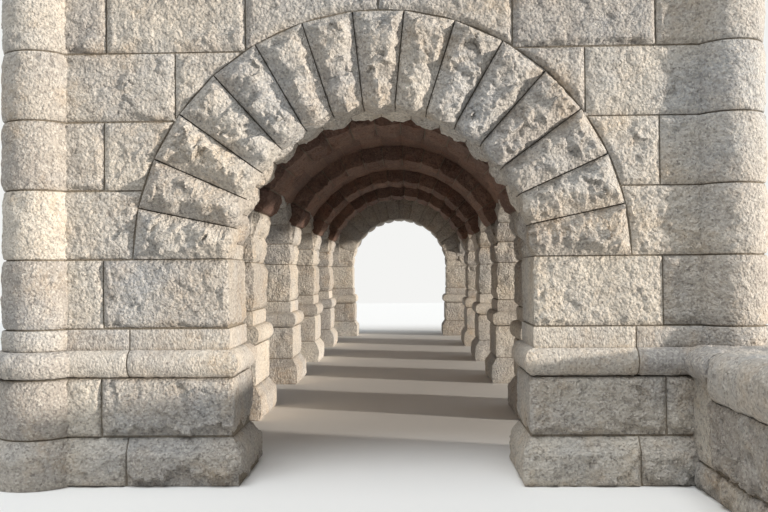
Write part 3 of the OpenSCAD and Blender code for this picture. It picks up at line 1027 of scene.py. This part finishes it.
# a bed rounded underneath and a slab on it, which stand out this far from the wall
cornice = {
    "bed": 0.24,
    "slab": 0.30,
    "height": 0.25,
    "stone": 1.1,
    "bedRounding": 0.058,
    "slabRounding": 0.014,
    "seam": 0.002,
    "tail": 0.1,  # how far the bed goes into the wall
    "inset": 0.02,  # how far the slab ends short of the parapet's inner side
    "rise": 0.006,  # how far its top stands over the height
    "sides": {"-y": 0.4, "-z": 0.2},
    "ends": 0.4,
    "roundingRoughness": 0.3,
    "topRoughness": 0.3,
}
parapet = {
    "height": 0.43,
    "thick": 0.42,
    "coping": 0.16,
    "out": 0.06,
    "stone": 1.1,
    "rounding": 0.03,
    "corner": 0.14,
    "cornerJoint": 0.3,
    "cornerRoughness": 0.9,
    "sides": {"-y": 1.0, "+y": 0.8},
    "capSides": {"-y": 0.4, "+y": 0.4, "+z": 0.4},
    "capEnds": {"-x": 0.4, "+x": 0.4},
}
deck = {
    "across": 6,
    "along": 15,
    "level": 0.1,
    "thick": 0.01,
    "sides": {"+z": 0.3},
    "look": {"cell": 0.16, "margin": 0.06, "bulge": 0.006, "facet": 0.004, "chip": 0.003},
}


def corniceRun(name, reach, place, showEnds=False):
    # built facing -Y, from -reach to reach
    piece = startPiece(name)
    stops = evenly(-reach, reach, round(2 * reach / cornice["stone"]))
    last = len(stops) - 2
    beyond = -skin if showEnds else 0
    z = house["wallTop"]
    middle, top = z + cornice["height"] / 2, z + cornice["height"]
    for i, (a, b) in enumerate(zip(stops, stops[1:])):
        a += half if i else beyond
        b -= half if i < last else beyond
        shown = dict(cornice["sides"])
        if showEnds and i == 0:
            shown["-x"] = cornice["ends"]
        if showEnds and i == last:
            shown["+x"] = cornice["ends"]
        y = -cornice["bed"] - skin

        def outer(c, d):
            return abs(d.x) > 0.1 and c.y < y + 0.01

        low, high = (a, y, z), (b, cornice["tail"], middle - cornice["seam"])
        smooth = cornice["roundingRoughness"]
        addRoundedStone(low, high, shown, cornice["bedRounding"], 4, outer, smooth)
        y = -cornice["slab"] - skin
        low, high = (a, y, middle), (b, parapet["thick"] - cornice["inset"], top + cornice["rise"])
        shown["+z"] = cornice["topRoughness"]
        addRoundedStone(low, high, shown, cornice["slabRounding"], 1, outer)
    finishPiece(piece, topFace, pointedGranite, place)


def parapetRun(name, reach, place):
    piece = startPiece(name)
    stops = evenly(-reach, reach, round(2 * reach / parapet["stone"]))
    z = house["wallTop"] + cornice["height"]
    top = z + parapet["height"]
    y0, y1 = -skin, parapet["thick"] + skin

    def upper(c, d):
        return abs(d.x) > 0.1 and c.z > top + 0.1

    for a, b in zip(stops, stops[1:]):
        a, b = a + half, b - half
        addStone((a, y0, z + half), (b, y1, top - half), parapet["sides"])
        low = (a, -parapet["out"] - skin, top)
        high = (b, parapet["thick"] + parapet["out"] + skin, top + parapet["coping"] + skin)
        addRoundedStone(low, high, parapet["capSides"], parapet["rounding"], 3, upper)
    finishPiece(piece, topFace, quarryGranite, place)


def cornerBlocks(name):
    # four blocks of two stones, each with a cap
    piece = startPiece(name)
    z = house["wallTop"] + cornice["height"]
    top = z + parapet["height"] + parapet["coping"]
    joints = (z, z + parapet["cornerJoint"], top)
    around = dict.fromkeys(("-x", "+x", "-y", "+y"), parapet["cornerRoughness"])
    capped = {**parapet["capSides"], **parapet["capEnds"]}
    out = parapet["out"] + skin

    def upper(c, d):
        return abs(d.z) < 0.01 and c.z > top + 0.1

    for side in (-1, 1):
        inside, outside = house["outer"] - parapet["thick"], house["outer"] + parapet["corner"]
        x0, x1 = sorted((side * inside, side * outside))
        for end, inward in ((front, 1), (house["rear"], -1)):
            y0, y1 = sorted((end - inward * parapet["corner"], end + inward * parapet["thick"]))
            for low, high in zip(joints, joints[1:]):
                foot, head = (x0 - skin, y0 - skin, low + half), (x1 + skin, y1 + skin, high - half)
                addStone(foot, head, around)
            foot = (x0 - out, y0 - out, top)
            head = (x1 + out, y1 + out, top + parapet["coping"] + skin)
            addRoundedStone(foot, head, capped, parapet["rounding"], 3, upper)
    finishPiece(piece, topFace, quarryGranite)


def deckSlabs(name):
    piece = startPiece(name)
    reach = house["outer"] - parapet["thick"]
    z = house["wallTop"] + deck["level"]
    across = evenly(-reach, reach, deck["across"])
    along = evenly(front + parapet["thick"], house["rear"] - parapet["thick"], deck["along"])
    for x0, x1 in zip(across, across[1:]):
        for y0, y1 in zip(along, along[1:]):
            low = (x0 + half, y0 + half, z - deck["thick"])
            addStone(low, (x1 - half, y1 - half, z + skin), deck["sides"])
    finishPiece(piece, deck["look"], pointedGranite)


atFront = Matrix.Translation((0, front, 0))
atRear = turnRound @ atFront
endReach = house["outer"] - parapet["thick"]
sideReach = (house["rear"] - house["front"]) / 2 - parapet["thick"]
for end, place in (("front", atFront), ("rear", atRear)):
    corniceRun(end + "CorniceStones", house["outer"] + cornice["slab"], place, showEnds=True)
for end, place in (("front", atFront), ("rear", atRear)):
    parapetRun(end + "ParapetStones", endReach, place)
for side, label in ((-1, "left"), (1, "right")):
    corniceRun(label + "CorniceStones", sideReach, sidePlace(side, middleY))
    parapetRun(label + "ParapetStones", sideReach, sidePlace(side, middleY))
cornerBlocks("cornerBlockStones")
deckSlabs("deckSlabs")
print("stage: top")


# The wing wall at the right of the front: kerb, wall and coping, from the front forwards

wing = {
    "x": 2.81,
    "half": 0.34,
    "kerb": 0.2,
    "kerbOut": 0.01,
    "wall": 0.52,
    "end": -3.865,
    # the end stone beside the column, which rises to the torus, goes as far as turn
    "turn": -0.465,
    "kerbJoints": [-0.11, -0.62, -1.1, -1.6, -2.3, -3.1],
    "wallJoints": [-1.75, -2.9],
    "kerbRounding": 0.06,
    "wallRounding": 0.03,
    "kerbRise": 0.004,
    "wallDrop": 0.02,
    "seam": 0.002,
    "kerbRoughness": 0.8,
    "endRoughness": 0.3,
    "topRoughness": 0.3,
    "look": {"cell": 0.017, "margin": 0.03, "bulge": 0.028, "facet": 0.018, "chip": 0.012, "spall": 0.15},
}
coping = {
    "height": 0.34,
    "out": 0.06,
    "rounding": 0.14,
    "joints": [-1.92, -2.95],
    "sides": {"-x": 0.6, "+x": 0.6, "+z": 0.6, "-z": 0.3},
    "roughness": 0.6,
    "turnRoughness": 0.4,
    # the shallow end, which returns the torus of the base
    "endRounding": 0.1,
    "endRoughness": 0.3,
    "overlap": 0.05,
    "drop": 0.004,
    "tuck": 0.02,
    "look": {"cell": 0.02, "margin": 0.06, "bulge": 0.034, "facet": 0.014, "chip": 0.012},
}


def wingStones(name):
    piece = startPiece(name)
    far = front + wing["end"] - skin

    def addRun(out, low, high, joints, roughness, rounding, edge):
        # edge is the height of the two long edges that are rounded
        stops = [front + y for y in joints] + [far]
        last = len(stops) - 2
        x0, x1 = wing["x"] - wing["half"] - out, wing["x"] + wing["half"] + out

        def rounded(c, d):
            return abs(d.y) > 0.1 and abs(c.z - edge) < 0.01

        for i in range(last + 1):
            b = stops[i] - (half if i else 0)
            a = stops[i + 1] + (half if i < last else 0)
            sides = {"-x": roughness, "+x": roughness, "+z": wing["topRoughness"]}
            if i == last:
                sides["-y"] = roughness
            addRoundedStone((x0, a, low), (x1, b, high), sides, rounding, 3, rounded)

    top, rounding = wing["kerb"] + wing["kerbRise"], wing["kerbRounding"]
    roughness = wing["kerbRoughness"]
    addRun(wing["kerbOut"] + skin, 0, top, wing["kerbJoints"], roughness, rounding, top)
    low, high = wing["kerb"] + half, wing["kerb"] + wing["wall"] - wing["wallDrop"]
    rounding = wing["wallRounding"]
    addRun(skin, low, high, [wing["turn"]] + wing["wallJoints"], 1.0, rounding, low)
    out, seam = wing["half"] + skin, wing["seam"]
    foot = (wing["x"] - out, front + wing["turn"] + half, low)
    head = (wing["x"] + out, front - base["upper"][2] - seam, base["torus"][0] + seam)

    def lower(c, d):
        return abs(d.y) > 0.1 and c.z < low + 0.01

    sides = dict.fromkeys(("-x", "+x"), wing["endRoughness"])
    addRoundedStone(foot, head, sides, rounding, 3, lower)
    finishPiece(piece, wing["look"], quarryGranite)


def wingCoping(name):
    piece = startPiece(name)
    low = wing["kerb"] + wing["wall"]
    top = low + coping["height"] + skin
    width = wing["half"] + coping["out"] + skin
    x0, x1 = wing["x"] - width, wing["x"] + width
    sides = coping["sides"]
    turn = front + wing["turn"]

    def lengthwise(c, d):
        return abs(d.y) > 0.1

    foot = (x0, turn - coping["overlap"], base["torus"][0] - coping["drop"])
    head = (x1, front - coping["tuck"], top)
    smooth = coping["endRoughness"]
    addRoundedStone(foot, head, sides, coping["endRounding"], 6, lengthwise, smooth)
    stops = [turn] + [front + y for y in coping["joints"]] + [front + wing["end"] - skin]
    last = len(stops) - 2
    for i in range(last + 1):
        b = stops[i] - (half if i else 0)
        a = stops[i + 1] + (half if i < last else 0)
        shown = dict(sides)
        if i == 0:
            shown["+y"] = coping["turnRoughness"]
        elif i == last:
            shown["-y"] = coping["roughness"]

        def rounded(c, d):
            atTurn = i == 0 and c.y > b - 0.01 and c.z < top - 0.01
            return lengthwise(c, d) or atTurn

        foot, smooth = (x0, a, low - skin + half), coping["roughness"]
        addRoundedStone(foot, (x1, b, top), shown, coping["rounding"], 8, rounded, smooth)
    finishPiece(piece, coping["look"], tooledGranite)


wingStones("wingWallStones")
wingCoping("wingCopingStones")
print("stage: wing")


# Stage, light and camera

bpy.ops.object.select_all(action="DESELECT")
bpy.ops.mesh.primitive_plane_add(size=60, location=(0, 0, -0.001))
floorPlane = bpy.context.object
floorPlane.name = "studioFloor"
floorMaterial = bpy.data.materials.new("paleFloor")
floorMaterial.use_nodes = True
floorShader = floorMaterial.node_tree.nodes["Principled BSDF"].inputs
floorShader["Base Color"].default_value = linear("#ece9e4")
floorShader["Roughness"].default_value = 0.9
floorPlane.data.materials.append(floorMaterial)

# the world fills the shadows, and is white where the camera sees it
world = bpy.data.worlds.new("studio")
bpy.context.scene.world = world
world.use_nodes = True
sky = world.node_tree
sky.nodes.clear()
seen = addNode(sky, "ShaderNodeLightPath").outputs
shown = seen["Is Camera Ray"]
for ray in ("Is Glossy Ray", "Is Transmission Ray"):
    shown = addNode(sky, "ShaderNodeMath", {"operation": "MAXIMUM"}, {0: shown, 1: seen[ray]})
fill = addNode(sky, "ShaderNodeBackground", {}, {"Color": linear("#e4ecf5"), "Strength": 0.38})
white = addNode(sky, "ShaderNodeBackground", {}, {"Color": linear("#f4f4f2"), "Strength": 1.0})
both = addNode(sky, "ShaderNodeMixShader", {}, {0: shown, 1: fill, 2: white})
addNode(sky, "ShaderNodeOutputWorld", {}, {"Surface": both})

# a low key from the right, and a broad soft lamp from above and the left
lamps = {
    "key": {"energy": 5.9, "angle": 2.5, "colour": (1.0, 0.93, 0.84), "towards": (-0.94, 0.32, -0.09)},
    "soft": {"energy": 2.4, "angle": 40.0, "colour": (0.9, 0.95, 1.0), "towards": (0.12, 0.3, -0.95)},
}
for name, lamp in lamps.items():
    data = bpy.data.lights.new(name, "SUN")
    data.energy = lamp["energy"]
    data.angle = math.radians(lamp["angle"])
    data.color = lamp["colour"]
    light = bpy.data.objects.new(name, data)
    bpy.context.scene.collection.objects.link(light)
    light.rotation_euler = Vector(lamp["towards"]).to_track_quat("-Z", "Y").to_euler()

# where the photograph was taken from: metres from the middle of the front, and turns in radians
view = {"x": 0.225, "y": -6.571, "z": 1.70, "left": 0.0295, "up": 0.0178, "roll": -0.0085}
cameraData = bpy.data.cameras.new("camera")
cameraData.lens = 38.25
camera = bpy.data.objects.new("camera", cameraData)
bpy.context.scene.collection.objects.link(camera)
camera.matrix_world = (
    Matrix.Translation((view["x"], front + view["y"], view["z"]))
    @ Matrix.Rotation(view["left"], 4, "Z")
    @ Matrix.Rotation(math.pi / 2 + view["up"], 4, "X")
    @ Matrix.Rotation(view["roll"], 4, "Z")
)
bpy.context.scene.camera = camera
bpy.context.scene.view_settings.view_transform = "Standard"
print("stage: studio")
